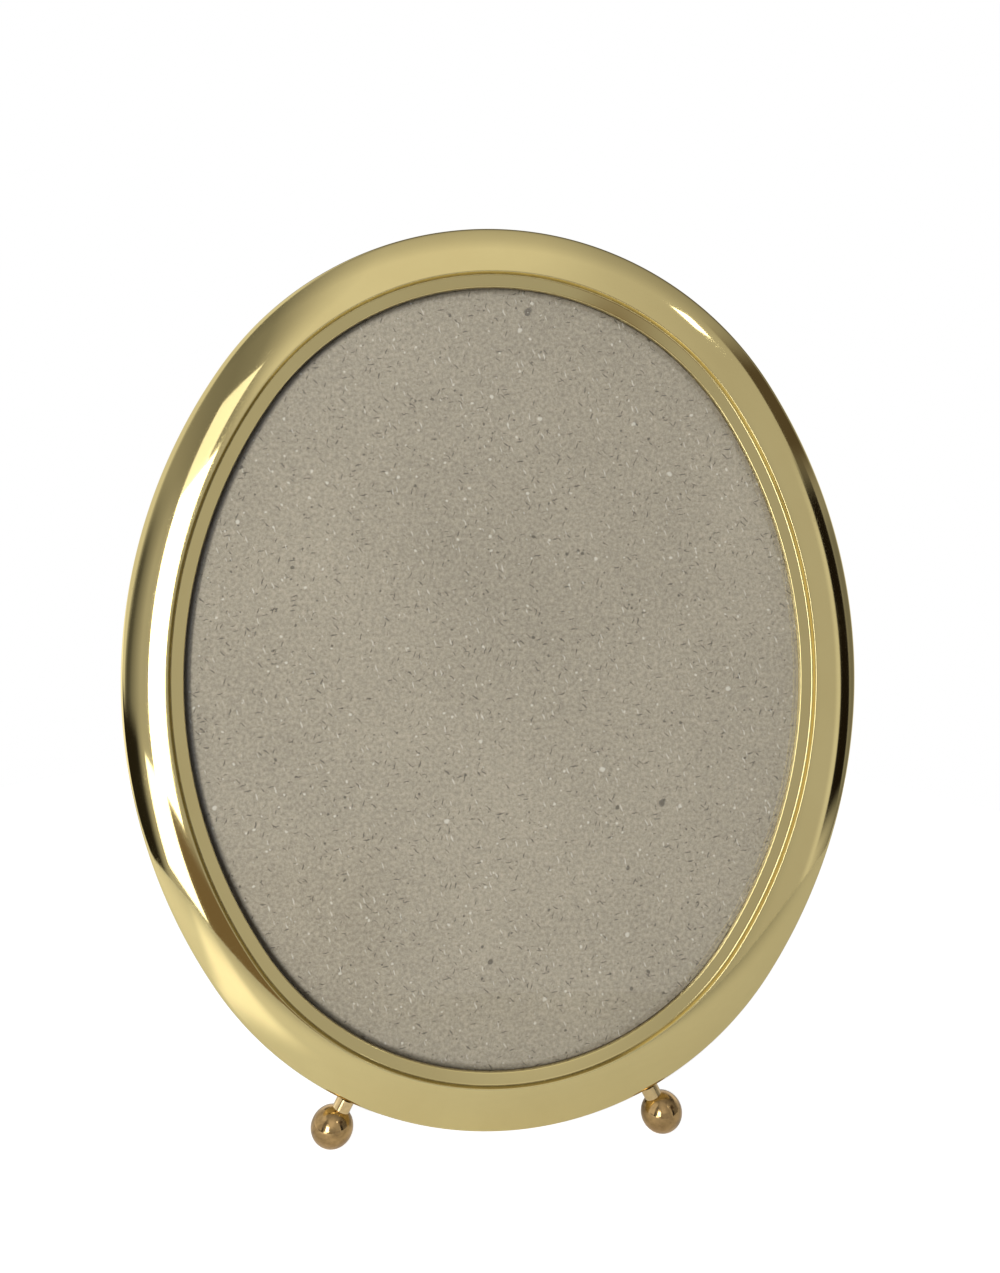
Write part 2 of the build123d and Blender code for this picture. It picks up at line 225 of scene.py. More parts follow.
place = node(tree, "ShaderNodeTexCoord").outputs["Object"]
speckle = node(tree, "ShaderNodeTexNoise", {"Vector": place, "Scale": 300.0, "Detail": 4.0})
weaker_on_right = node(tree, "ShaderNodeMapRange", {
    "Value": node(tree, "ShaderNodeSeparateXYZ", {0: place}).outputs[0],
    "From Min": 0.055, "From Max": 0.095, "To Min": 1.0, "To Max": 0.25}).outputs[0]
polish_and_shade = sums(tree, "MULTIPLY", grime, sums(tree, "MULTIPLY_ADD", speckle.outputs[0], 0.8, 0.6))
polish_and_shade = sums(tree, "MULTIPLY", polish_and_shade, weaker_on_right)
polish_and_shade = node(tree, "ShaderNodeClamp", {"Value": polish_and_shade}).outputs[0]
clean_color = shader.inputs["Base Color"].links[0].from_socket
clean_rough = shader.inputs["Roughness"].links[0].from_socket
polish_and_shade_mix = node(tree, "ShaderNodeMix", {0: polish_and_shade, 6: clean_color, 7: (0.045, 0.026, 0.012, 1)}, data_type="RGBA")
tree.links.new(polish_and_shade_mix.outputs[2], shader.inputs["Base Color"])
tree.links.new(sums(tree, "MULTIPLY_ADD", polish_and_shade, 0.35, clean_rough), shader.inputs["Roughness"])
metals = (rim_brass, foot_brass, stem_brass, button_brass, hinge_brass, hinge_steel)
print("metals:", [m.name for m in metals])

# %% [markdown]
# Greyboard is pressed from waste paper: a grey-beige felt with dark specks, white crumbs and short
# fibres that lie any way. Each speck is a cell of a Voronoi pattern. A cell shows only if its random
# colour passes a share, so the specks are sparse, and a little noise on the place makes them ragged.
# Squeezing the pattern in one direction turns the same specks into fibres.

# %% Group: specks
specks, given, result = new_tree(
    "specks", "ShaderNodeTree",
    {"Place": "NodeSocketVector", "Turn": "NodeSocketFloat", "Squeeze": "NodeSocketFloat",
     "Count": "NodeSocketFloat", "Radius": "NodeSocketFloat", "Share": "NodeSocketFloat"},
    {"Mask": "NodeSocketFloat"},
)
ragged = node(specks, "ShaderNodeTexNoise", {"Vector": given["Place"], "Scale": 700.0, "Detail": 3.0})
nudge = node(specks, "ShaderNodeVectorMath", {0: ragged.outputs["Color"], 1: (0.0011, 0.0011, 0.0)},
             operation="MULTIPLY")
moved = node(specks, "ShaderNodeVectorMath", {0: given["Place"], 1: nudge.outputs[0]})
spun = node(specks, "ShaderNodeVectorRotate", {"Vector": moved.outputs[0], "Angle": given["Turn"]},
            rotation_type="Z_AXIS")
squeezed = node(specks, "ShaderNodeCombineXYZ", {0: given["Squeeze"], 1: 1.0, 2: 1.0})
flat = node(specks, "ShaderNodeVectorMath", {0: spun.outputs[0], 1: squeezed.outputs[0]},
            operation="MULTIPLY")
cells = node(specks, "ShaderNodeTexVoronoi", {"Vector": flat.outputs[0], "Scale": given["Count"]},
             voronoi_dimensions="2D")
chance = node(specks, "ShaderNodeSeparateColor", {0: cells.outputs["Color"]})
picked = sums(specks, "LESS_THAN", chance.outputs[0], given["Share"])
reach = sums(specks, "MULTIPLY", given["Radius"], sums(specks, "MULTIPLY_ADD", chance.outputs[1], 0.8, 0.3))
inside = node(specks, "ShaderNodeMapRange", {
    "Value": cells.outputs["Distance"], "From Min": sums(specks, "MULTIPLY", reach, 0.6), "From Max": reach,
    "To Min": 1.0, "To Max": 0.0,
})
specks.links.new(sums(specks, "MULTIPLY", inside.outputs[0], picked), result["Mask"])
print("group:", specks.name)

# %% [markdown]
# The card's own grey drifts a little over the sheet and is finely felted. On top come the layers of
# specks, dark ones and pale ones, and four directions of fibre. The same masks raise a slight bump.

# %% Greyboard finish
grey_card = bpy.data.materials.new("pressed_greyboard")
grey_card.use_nodes = True
tree = grey_card.node_tree
shader = tree.nodes["Principled BSDF"]
place = node(tree, "ShaderNodeTexCoord").outputs["Object"]
sheet_plane = node(tree, "ShaderNodeMapping", {"Vector": place, "Rotation": (lean - pi / 2, 0, 0)}).outputs[0]


def speck_layer(turn, squeeze, count, radius, share):
    layer = node(tree, "ShaderNodeGroup", {"Place": sheet_plane}, node_tree=specks)
    settings = {"Turn": turn, "Squeeze": squeeze, "Count": count, "Radius": radius, "Share": share}
    for key, value in settings.items():
        layer.inputs[key].default_value = value
    return layer.outputs["Mask"]


drift = node(tree, "ShaderNodeTexNoise", {
    "Vector": sheet_plane, "Scale": 16.0, "Detail": 4.0, "Roughness": 0.6})
felt = node(tree, "ShaderNodeTexNoise", {
    "Vector": sheet_plane, "Scale": 900.0, "Detail": 4.0, "Roughness": 0.75})
blend = sums(tree, "ADD", sums(tree, "MULTIPLY", drift.outputs[0], 0.2),
             sums(tree, "MULTIPLY", felt.outputs[0], 0.8))
ground = node(tree, "ShaderNodeMix", {
    0: node(tree, "ShaderNodeMapRange", {"Value": blend, "From Min": 0.36, "From Max": 0.64}).outputs[0],
    6: (0.280, 0.239, 0.181, 1), 7: (0.515, 0.442, 0.341, 1),
}, data_type="RGBA").outputs[2]
dark_layers = [speck_layer(0.0, 1.0, 190.0, 0.12, 0.06), speck_layer(0.7, 1.0, 400.0, 0.16, 0.12),
               speck_layer(0.3, 5.5, 125.0, 0.15, 0.22), speck_layer(1.4, 5.5, 120.0, 0.15, 0.28),
               speck_layer(2.3, 6.0, 110.0, 0.14, 0.22), speck_layer(0.5, 1.3, 62.0, 0.11, 0.05)]
pale_layers = [speck_layer(0.4, 1.0, 180.0, 0.17, 0.03), speck_layer(1.1, 1.0, 390.0, 0.19, 0.08),
               speck_layer(2.8, 5.5, 120.0, 0.14, 0.24)]
tint = ground
speck_inks = ((dark_layers, (0.085, 0.068, 0.048, 1), 0.8), (pale_layers, (0.76, 0.72, 0.64, 1), 0.75))
for layers, colour, strength in speck_inks:
    for layer in layers:
        tint = node(tree, "ShaderNodeMix", {0: sums(tree, "MULTIPLY", layer, strength), 6: tint, 7: colour},
                    data_type="RGBA").outputs[2]
height = felt.outputs[0]
for layer in dark_layers:
    height = sums(tree, "SUBTRACT", height, layer)
tree.links.new(tint, shader.inputs["Base Color"])
shader.inputs["Roughness"].default_value = 0.92
press = node(tree, "ShaderNodeBump", {"Height": height, "Strength": 0.35, "Distance": 0.0001})
tree.links.new(press.outputs[0], shader.inputs["Normal"])
print("card layers:", len(dark_layers) + len(pale_layers))

# %% [markdown]
# Flock is short black pile, glued upright. Real hairs would be far too many, so the finish does it:
# a black that is a little paler where the nap is brushed, a fine grain in the bump, and the shader's
# own sheen for the soft light along the edges.

# %% Flock finish
black_flock = bpy.data.materials.new("black_flock_pile")
black_flock.use_nodes = True
tree = black_flock.node_tree
shader = tree.nodes["Principled BSDF"]
place = node(tree, "ShaderNodeTexCoord").outputs["Object"]
nap = node(tree, "ShaderNodeTexNoise", {
    "Vector": place, "Scale": 34.0, "Detail": 5.0, "Roughness": 0.6, "Distortion": 1.2})
pile = node(tree, "ShaderNodeTexNoise", {"Vector": place, "Scale": 2600.0, "Detail": 3.0, "Roughness": 0.8})
brushed = sums(tree, "ADD", sums(tree, "MULTIPLY", nap.outputs[0], 0.7),
               sums(tree, "MULTIPLY", pile.outputs[0], 0.5))
cloth = node(tree, "ShaderNodeMix", {
    0: node(tree, "ShaderNodeMapRange", {"Value": brushed, "From Min": 0.45, "From Max": 0.8}).outputs[0],
    6: (0.007, 0.007, 0.008, 1), 7: (0.030, 0.029, 0.031, 1),
}, data_type="RGBA")
tree.links.new(cloth.outputs[2], shader.inputs["Base Color"])
shader.inputs["Roughness"].default_value = 0.95
shader.inputs["Sheen Weight"].default_value = 0.5
shader.inputs["Sheen Roughness"].default_value = 0.45
shader.inputs["Sheen Tint"].default_value = (0.75, 0.75, 0.8, 1)
press = node(tree, "ShaderNodeBump", {"Height": pile.outputs[0], "Strength": 0.7, "Distance": 0.0003})
tree.links.new(press.outputs[0], shader.inputs["Normal"])
print("finish:", black_flock.name)

# %% [markdown]
# The pane is clear. Light has to reach the card through it, and bent light through a solid is slow and
# noisy, so shadow rays pass straight through a clear shader, while the eye still sees real glass. A few
# smears roughen it slightly here and there.

# %% Glass finish
clear_glass = bpy.data.materials.new("clear_pane_glass")
clear_glass.use_nodes = True
tree = clear_glass.node_tree
shader = tree.nodes["Principled BSDF"]
place = node(tree, "ShaderNodeTexCoord").outputs["Object"]
smear = node(tree, "ShaderNodeTexNoise", {"Vector": place, "Scale": 14.0, "Detail": 5.0, "Distortion": 2.0})
shader.inputs["Base Color"].default_value = (0.985, 0.995, 0.985, 1)
shader.inputs["Transmission Weight"].default_value = 1.0
shader.inputs["IOR"].default_value = 1.46
tree.links.new(node(tree, "ShaderNodeMapRange", {
    "Value": smear.outputs[0], "From Min": 0.5, "From Max": 0.85, "To Min": 0.0, "To Max": 0.05,
}).outputs[0], shader.inputs["Roughness"])
path = node(tree, "ShaderNodeLightPath")
passing = node(tree, "ShaderNodeBsdfTransparent", {"Color": (0.97, 0.98, 0.97, 1)})
through = sums(tree, "MAXIMUM", path.outputs["Is Shadow Ray"], path.outputs["Is Diffuse Ray"])
pane = node(tree, "ShaderNodeMixShader", {0: through, 1: shader.outputs[0], 2: passing.outputs[0]})
tree.links.new(pane.outputs[0], tree.nodes["Material Output"].inputs["Surface"])
print("finish:", clear_glass.name)

# %% [markdown]
# Every solid keeps its own mesh and only takes a finish by its slot in the record, so the solids and
# the looks stay the same object.

# %% Dress the solids
finishes = {
    "rim_brass": rim_brass, "foot_brass": foot_brass, "stem_brass": stem_brass, "button_brass": button_brass,
    "hinge_brass": hinge_brass, "hinge_steel": hinge_steel, "glass": clear_glass, "grey_card": grey_card,
    "black_flock": black_flock,
}
for part in frame["record"]["subparts"]:
    frame["nodes"][part["node"]].material_slots[0].material = finishes[part["material_slot"]]

# %% [markdown]
# ## The rim
# The rim is one moulding that follows an oval. A mirror shows every flat triangle, so the rim is swept
# again here in many fine steps. First comes its section, in millimetres: insets are minus x and heights
# are y. Corners are rounded by a small helper, crisply at the crest and the lip, and long flats get a
# point near each end, so that the rounding doesn't shade across them.

# %% Section of the rim
crest_inset, crest_height, face_rise, shoulder_radius, crest_round = 13.8, 11.3, 4.2, 1.9, 0.7
quirk_inset, quirk_height, sight_inset, sight_height, rebate_depth = 14.9, 9.5, 18.4, 8.5, 6.5
rebate_inset, channel_wall, channel_depth, cove_round, crisp = 12.0, 2.2, 5.8, 0.5, 0.3


def arc(centre, radius, start, end, steps):
    turns = [radians(start + (end - start) * i / steps) for i in range(steps + 1)]
    return [(centre[0] + radius * cos(a), centre[1] + radius * sin(a)) for a in turns]


def rounded(before, corner, after, radius, steps=8):
    corner = Vector(corner)
    one, two = (Vector(before) - corner).normalized(), (Vector(after) - corner).normalized()
    half = one.angle(two) / 2
    centre = corner + (one + two).normalized() * (radius / sin(half))
    first, last = [corner + way * radius / (sin(half) / cos(half)) for way in (one, two)]
    start = atan2(*(first - centre).yx)
    sweep = (atan2(*(last - centre).yx) - start + pi) % tau - pi
    return arc(centre, radius, degrees(start), degrees(start + sweep), steps)


wall_height = crest_height - face_rise
face_radius = (crest_inset**2 - 2 * crest_inset * shoulder_radius + face_rise**2) / (
    2 * (face_rise - shoulder_radius))
face_centre = (-crest_inset, crest_height - face_radius)
shoulder_turn = degrees(atan2(wall_height - face_centre[1], crest_inset - shoulder_radius))
wall_top = (-crest_inset - crest_round, crest_height - crisp)
quirk = (-quirk_inset, quirk_height)
sight_top, sight_foot = (-sight_inset, sight_height), (-sight_inset, rebate_depth)
inner, outer = channel_wall - rebate_inset, -channel_wall
section = rounded((outer, 0), (0, 0), (0, wall_height), 0.6)
section += arc((-shoulder_radius, wall_height), shoulder_radius, 0, shoulder_turn, 12)
section += arc(face_centre, face_radius, shoulder_turn, 90, 26)[1:]
section += arc((crisp - crest_inset - crest_round, crest_height - crisp), crisp, 90, 180, 9)
section += rounded(wall_top, quirk, sight_top, cove_round, 14)
section += rounded(quirk, sight_top, sight_foot, crisp)
section += [sight_foot, (-rebate_inset, rebate_depth), (-rebate_inset, 0), (inner, 0)]
section += rounded((inner, 0), (inner, channel_depth), (outer, channel_depth), 1.6, 5)
section += rounded((inner, channel_depth), (outer, channel_depth), (outer, 0), 1.6, 5) + [(outer, 0)]
outline = []
for here, after in zip(section, section[1:] + section[:1]):
    here, after = Vector(here), Vector(after)
    step = after - here
    outline.append(here)
    if step.length > 0.9:
        outline += [here + step.normalized() * 0.1, after - step.normalized() * 0.1]
curve = bpy.data.curves.new("rim_section", "CURVE")
curve.dimensions = "3D"
spline = curve.splines.new("POLY")
spline.points.add(len(outline) - 1)
for point, place in zip(spline.points, outline):
    point.co = (place.x * MM, -place.y * MM, 0, 1)
spline.use_cyclic_u = True
section_piece = bpy.data.objects.new("rim_section", curve)
bpy.context.scene.collection.objects.link(section_piece)
run = [0.0]
for here, after in zip(outline, outline[1:] + outline[:1]):
    run.append(run[-1] + (after - here).length)


def share_at(x, y):
    nearest = min(range(len(outline)), key=lambda i: (outline[i] - Vector((x, y))).length)
    return run[nearest] / run[-1]


root_share = share_at(-quirk_inset, quirk_height + 0.5)
edge_share = share_at(-sight_inset, rebate_depth + 0.7)
print("section points:", len(outline), "face radius:", round(face_radius, 2), "mm")

# %% [markdown]
# The oval is drawn with four arcs, two for the ends and two for the sides. There is a neat rule for it:
# take any direction, and the oval's point that faces that way lies on the arc whose centre it belongs
# to. So a circle's points can be moved onto the oval by their own direction, and Curve to Mesh then
# carries the section round it. All of that is a node tree, and its sizes are inputs. Curve to Mesh lays
# the section's y downward on a level path, which is why its heights were written with a minus. The tree
# also marks two crevices along the section, the root of the step and the edge at the glass, with a value that
# darkens them: partly old polish, partly painted shade.

# %% Sweep the section round the oval
half_width, half_height, clearance = 101.6, 127.0, 0.4
end_radius = half_width * 0.892
end_centre = half_height - end_radius
side_radius = (half_width**2 - end_radius**2 + end_centre**2) / (2 * (half_width - end_radius))
side_centre = side_radius - half_width
rim_offset = clearance + rebate_inset

sweep, given, result = new_tree(
    "oval_sweep", "GeometryNodeTree",
    {"Section": "NodeSocketObject", "Steps": "NodeSocketInt", "End Radius": "NodeSocketFloat",
     "End Centre": "NodeSocketFloat", "Side Radius": "NodeSocketFloat", "Side Centre": "NodeSocketFloat",
     "Root Share": "NodeSocketFloat", "Edge Share": "NodeSocketFloat", "Grime Width": "NodeSocketFloat",
     "Finish": "NodeSocketMaterial"},
    {"Geometry": "NodeSocketGeometry"},
)
circle = node(sweep, "GeometryNodeCurvePrimitiveCircle", {"Resolution": given["Steps"]})
counted = node(sweep, "GeometryNodeInputIndex").outputs[0]
turn = sums(sweep, "MULTIPLY", sums(sweep, "DIVIDE", counted, given["Steps"]), tau)
side, rise = sums(sweep, "COSINE", turn), sums(sweep, "SINE", turn)
on_side = sums(sweep, "LESS_THAN",
               sums(sweep, "MULTIPLY", sums(sweep, "ABSOLUTE", rise), given["Side Centre"]),
               sums(sweep, "MULTIPLY", sums(sweep, "ABSOLUTE", side), given["End Centre"]))
on_end = sums(sweep, "SUBTRACT", 1.0, on_side)
radius = sums(sweep, "ADD", sums(sweep, "MULTIPLY", on_side, given["Side Radius"]),
              sums(sweep, "MULTIPLY", on_end, given["End Radius"]))
back_step = sums(sweep, "MULTIPLY", sums(sweep, "MULTIPLY", on_side, given["Side Centre"]),
                 sums(sweep, "SIGN", side))
up_step = sums(sweep, "MULTIPLY", sums(sweep, "MULTIPLY", on_end, given["End Centre"]),
               sums(sweep, "SIGN", rise))
spot = node(sweep, "ShaderNodeCombineXYZ", {
    0: sums(sweep, "SUBTRACT", sums(sweep, "MULTIPLY", radius, side), back_step),
    1: sums(sweep, "ADD", sums(sweep, "MULTIPLY", radius, rise), up_step),
})
oval = node(sweep, "GeometryNodeSetPosition", {"Geometry": circle.outputs[0], "Position": spot.outputs[0]})
level = node(sweep, "GeometryNodeSetCurveNormal", {"Curve": oval.outputs[0]}, mode="Z_UP")
shape = node(sweep, "GeometryNodeObjectInfo", {"Object": given["Section"]})
share = node(sweep, "GeometryNodeSplineParameter").outputs["Factor"]
bands = []
for middle in (given["Root Share"], given["Edge Share"]):
    aside = sums(sweep, "ABSOLUTE", sums(sweep, "SUBTRACT", share, middle))
    away = sums(sweep, "DIVIDE", aside, given["Grime Width"])
    bands.append(sums(sweep, "MAXIMUM", sums(sweep, "SUBTRACT", 1.0, away), 0.0))
# The crease value stored here is partly old polish and partly painted shade.
crease_marked = node(sweep, "GeometryNodeStoreNamedAttribute", {
    "Geometry": shape.outputs["Geometry"], "Name": "grime",
    "Value": sums(sweep, "MAXIMUM", sums(sweep, "MULTIPLY", bands[0], 0.5), bands[1]),
}, data_type="FLOAT", domain="POINT")
tube = node(sweep, "GeometryNodeCurveToMesh", {"Curve": level.outputs[0], "Profile Curve": crease_marked.outputs[0]})
real = node(sweep, "GeometryNodeRealizeInstances", {"Geometry": tube.outputs[0]})
coat = node(sweep, "GeometryNodeSetMaterial", {"Geometry": real.outputs[0], "Material": given["Finish"]})
sweep.links.new(coat.outputs[0], result["Geometry"])
print("tree:", sweep.name, len(sweep.nodes), "nodes")

# %% [markdown]
# A painted shadow of the lip lies on the board as a thin dark line, strongest on the left and fading towards
# the right. How far a place is from the lip comes from the oval's own arcs: near an end it is measured from
# that end's centre, and else from the far side's centre.

# %% Painted shadow along the lip
tree = grey_card.node_tree
shader = tree.nodes["Principled BSDF"]
# Width and dark colour of the painted shadow of the lip.
lip_shadow_width, lip_shadow_dark = 1.9 * MM, (0.03, 0.019, 0.010, 1)
middle = (0, (Matrix.Rotation(lean - pi / 2, 3, "X") @ face.translation).y, 0)
moved = node(tree, "ShaderNodeVectorMath", {0: sheet_plane, 1: middle}, operation="SUBTRACT")
spot = node(tree, "ShaderNodeSeparateXYZ", {0: moved.outputs[0]})
beside, above = [sums(tree, "ABSOLUTE", spot.outputs[i]) for i in (0, 1)]


def from_lip(radius, side_step, end_step):
    reach = node(tree, "ShaderNodeCombineXYZ", {
        0: sums(tree, "ADD", beside, side_step * MM), 1: sums(tree, "SUBTRACT", above, end_step * MM)})
    length = node(tree, "ShaderNodeVectorMath", {0: reach.outputs[0]}, operation="LENGTH").outputs["Value"]
    return sums(tree, "SUBTRACT", (radius + rim_offset - sight_inset) * MM, length)


at_side, at_end = from_lip(side_radius, side_centre, 0), from_lip(end_radius, 0, end_centre)
near_end = sums(tree, "GREATER_THAN", sums(tree, "MULTIPLY", above, side_centre / end_centre),
                sums(tree, "ADD", beside, side_centre * MM))
gap = sums(tree, "MULTIPLY_ADD", near_end, sums(tree, "SUBTRACT", at_end, at_side), at_side)
# Painted shadow of the lip: a thin dark line just inside the lip, stronger towards the left.
lip_shadow_line = node(tree, "ShaderNodeMapRange", {
    "Value": gap, "From Min": 0.2 * MM, "From Max": lip_shadow_width, "To Min": 0.9, "To Max": 0.0,
}, interpolation_type="SMOOTHSTEP").outputs[0]
left_fade = node(tree, "ShaderNodeMapRange", {
    "Value": spot.outputs[0], "From Min": -85 * MM, "From Max": 10 * MM, "To Min": 1.0, "To Max": 0.1,
}).outputs[0]
lip_shadowed = node(tree, "ShaderNodeMix", {
    0: sums(tree, "MULTIPLY", lip_shadow_line, left_fade), 6: shader.inputs["Base Color"].links[0].from_socket, 7: lip_shadow_dark,
}, data_type="RGBA")
tree.links.new(lip_shadowed.outputs[2], shader.inputs["Base Color"])
print("lip_shadow: sight opening", round(2 * (half_width + rim_offset - sight_inset), 1), "mm wide")

# %% [markdown]
# A tree gives its shape only through a modifier, and the export wants plain meshes. So a helper hangs
# the tree on an empty mesh, sets each input by its identifier, reads the result and drops the modifier.
# A second helper lays a finished mesh in its place, turns its faces outward and keeps sharp corners.

# %% Helpers for finished pieces
def grown(name, tree, values):
    piece = bpy.data.objects.new(name, bpy.data.meshes.new(name))
    bpy.context.scene.collection.objects.link(piece)
    modifier = piece.modifiers.new("shape", "NODES")
    modifier.node_group = tree
    for item in tree.interface.items_tree:
        if item.in_out == "INPUT":
            modifier[item.identifier] = values[item.name]
    graph = bpy.context.evaluated_depsgraph_get()
    baked = bpy.data.meshes.new_from_object(
        piece.evaluated_get(graph), preserve_all_data_layers=True, depsgraph=graph
    )
    piece.modifiers.clear()
    piece.data = baked
    return piece


def laid(mesh, matrix, sharp=32):
    shape = bmesh.new()
    shape.from_mesh(mesh)
    bmesh.ops.remove_doubles(shape, verts=shape.verts, dist=1e-7)
    bmesh.ops.recalc_face_normals(shape, faces=shape.faces)
    shape.to_mesh(mesh)
    shape.free()
    mesh.transform(matrix)
    mesh.polygons.foreach_set("use_smooth", [True] * len(mesh.polygons))
    mesh.set_sharp_from_angle(angle=radians(sharp))


def turned(name, outline, steps, closed=False):
    shape = bmesh.new()
    rings = []
    for radius, height in outline:
        count = steps if radius else 1
        rings.append([shape.verts.new((radius * MM * cos(tau * i / steps), radius * MM * sin(tau * i / steps),
                                       height * MM)) for i in range(count)])
    for low, high in list(zip(rings, rings[1:])) + ([(rings[-1], rings[0])] if closed else []):
        for i in range(steps):
            below, over = [[ring[(i + step) % len(ring)] for step in (0, 1)] for ring in (low, high)]
            shape.faces.new(list(dict.fromkeys(below + over[::-1])))
    bmesh.ops.recalc_face_normals(shape, faces=shape.faces)
    mesh = bpy.data.meshes.new(name)
    shape.to_mesh(mesh)
    shape.free()
    return mesh


rim = grown("swept_rim", sweep, {
    "Section": section_piece, "Steps": 640, "End Radius": (end_radius + rim_offset) * MM,
    "End Centre": end_centre * MM, "Side Radius": (side_radius + rim_offset) * MM,
    "Side Centre": side_centre * MM, "Root Share": root_share, "Edge Share": edge_share, "Grime Width": 0.011,
    "Finish": rim_brass,
})
bpy.data.objects.remove(section_piece)
print("rim faces:", len(rim.data.polygons), "width and height:",
      round(rim.dimensions.x, 5), round(rim.dimensions.y, 5))

# %% [markdown]
# Behind, the rim is a hollow channel. Bosses stand in it where the button screws and the foot stems
# need metal. They belong to the casting, so they go into the rim's own mesh: turned ones for the
# screws, with their holes, and two blocks for the stems.

# %% Bosses in the channel
junction = degrees(atan2(end_centre, side_centre))
spread = junction + 0.2 * (90 - junction)
button_turns = {"side_right": 0, "upper_right": spread, "upper_left": 180 - spread,
                "side_left": 180, "lower_left": 180 + spread, "lower_right": -spread}
to_face = face.inverted()
button_places = {name: to_face @ Vector(joints[f"turn_button_{name}_turn"]["pos_m"]) for name in button_turns}
casting = bmesh.new()
casting.from_mesh(rim.data)
boss = turned("screw_boss", [(1.55, 0), (1.55, 5.5), (4.2, 6.2), (4.2, 0.25), (3.95, 0)], 40, closed=True)
for spot in button_places.values():
    mesh = boss.copy()
    mesh.transform(Matrix.Translation(spot))
    casting.from_mesh(mesh)
foot_radius, foot_half = end_radius + rim_offset, 27.1222
for turn in (-foot_half, foot_half):
    stand = (Matrix.Translation((0, -end_centre * MM, 0)) @ Matrix.Rotation(radians(turn - 90), 4, "Z")
             @ Matrix.Translation(((foot_radius - 6.0) * MM, 0, 3.1 * MM))
             @ Matrix.Diagonal((9.8 * MM, 9 * MM, 6.2 * MM, 1)))
    block = bmesh.ops.create_cube(casting, size=1, matrix=stand)
    edges = {edge for vert in block["verts"] for edge in vert.link_edges}
    bmesh.ops.bevel(casting, geom=list(edges), offset=0.5 * MM, segments=3, affect="EDGES", profile=0.5)
casting.to_mesh(rim.data)
casting.free()
laid(rim.data, face)
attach(rim, "frame")
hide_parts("rim")
cad_low, cad_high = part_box("rim")
new_low, new_high = Vector(rim.bound_box[0]), Vector(rim.bound_box[6])
apart = (*(new_low - cad_low), *(new_high - cad_high))
print("rim against its solid, mm:", [round(v / MM, 3) for v in apart])

# %% [markdown]
# ## The pane
# The glass and the card touch, and two faces in one place confuse the light. So the pane is cut again,
# a hair thinner than its space. It follows the oval by the same rule as the sweep, and a few outlines,
# one in front of the other, give it its ground edge.

# %% Clear pane
def oval_points(inset, steps=360):
    points = []
    for i in range(steps):
        x, y = cos(tau * i / steps), sin(tau * i / steps)
        if abs(y) * side_centre < abs(x) * end_centre:
            centre, radius = (-side_centre if x > 0 else side_centre, 0), side_radius
        else:
            centre, radius = (0, end_centre if y > 0 else -end_centre), end_radius
        points.append((centre[0] + (radius - inset) * x, centre[1] + (radius - inset) * y))
    return points


cutting = bmesh.new()
rows = [[cutting.verts.new((x * MM, y * MM, height * MM)) for x, y in oval_points(inset)]
        for inset, height in ((0.3, 4.53), (0.02, 4.81), (0.02, 6.19), (0.3, 6.47))]
for low, high in zip(rows, rows[1:]):
    for i in range(len(low)):
        cutting.faces.new((low[i - 1], low[i], high[i], high[i - 1]))
cutting.faces.new(rows[0])
cutting.faces.new(rows[-1])
mesh = bpy.data.meshes.new("clear_pane")
cutting.to_mesh(mesh)
cutting.free()
mesh.materials.append(clear_glass)
laid(mesh, face)
pane_piece = bpy.data.objects.new("clear_pane", mesh)
bpy.context.scene.collection.objects.link(pane_piece)
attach(pane_piece, "frame")
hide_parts("glass")
print("pane faces:", len(mesh.polygons))

# %% [markdown]
# ## Turn buttons
# Each button is a pressed brass teardrop that swings on its screw. Its outline is the hull of two
# circles, so an inset of the outline is just the same hull with smaller circles. A few such outlines,
# one above the other, give the button its rolled edge, and a ring round the screw closes it.

# %% Pressed turn buttons
def teardrop(inset, pivot_radius=4.2, nose_radius=2.3, reach=11.0):
    lie = degrees(acos((pivot_radius - nose_radius) / reach))
    bow = arc((0, 0), pivot_radius - inset, lie - 180, 180 - lie, 44)
    return bow + arc((-reach, 0), nose_radius - inset, 180 - lie, 180 + lie, 22)


def ring(radius):
    far = [(x, y, (x * x + y * y) ** 0.5) for x, y in teardrop(0)]
    return [(radius * x / reach, radius * y / reach) for x, y, reach in far]


loops = [(ring(1.56), -0.1), (teardrop(0.1), -0.1), (teardrop(0.0), -0.2), (teardrop(0.0), -0.72),
         (teardrop(0.06), -0.87), (teardrop(0.17), -0.96), (teardrop(0.34), -1.0), (ring(3.4), -1.0),
         (ring(1.75), -1.0), (ring(1.56), -0.9)]
pressing = bmesh.new()
rows = [[pressing.verts.new((x * MM, y * MM, z * MM)) for x, y in loop] for loop, z in loops]
for low, high in zip(rows, rows[1:] + rows[:1]):
    for i in range(len(low)):
        pressing.faces.new((low[i - 1], low[i], high[i], high[i - 1]))
pressed = bpy.data.meshes.new("pressed_button")
pressing.to_mesh(pressed)
pressing.free()
for name, turn in button_turns.items():
    mesh = pressed.copy()
    mesh.name = f"pressed_button_{name}"
    mesh.materials.append(button_brass)
    laid(mesh, face @ Matrix.Translation(button_places[name]) @ Matrix.Rotation(radians(turn), 4, "Z"))
    button = bpy.data.objects.new(mesh.name, mesh)
    bpy.context.scene.collection.objects.link(button)
    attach(button, f"turn_button_{name}")
    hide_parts(f"turn_button_{name}")
print("buttons:", len(button_turns), "faces each:", len(pressed.polygons))

# %% [markdown]
# ## Screws and rivets
# Six screws and four rivets repeat, so one tree sets them all. It takes a turned fastener, cuts a slot
# if there is one, puts a copy on each point with its own turn, and makes the copies real. The turn is
# random with a fixed seed, as a hand leaves each slot at another angle.

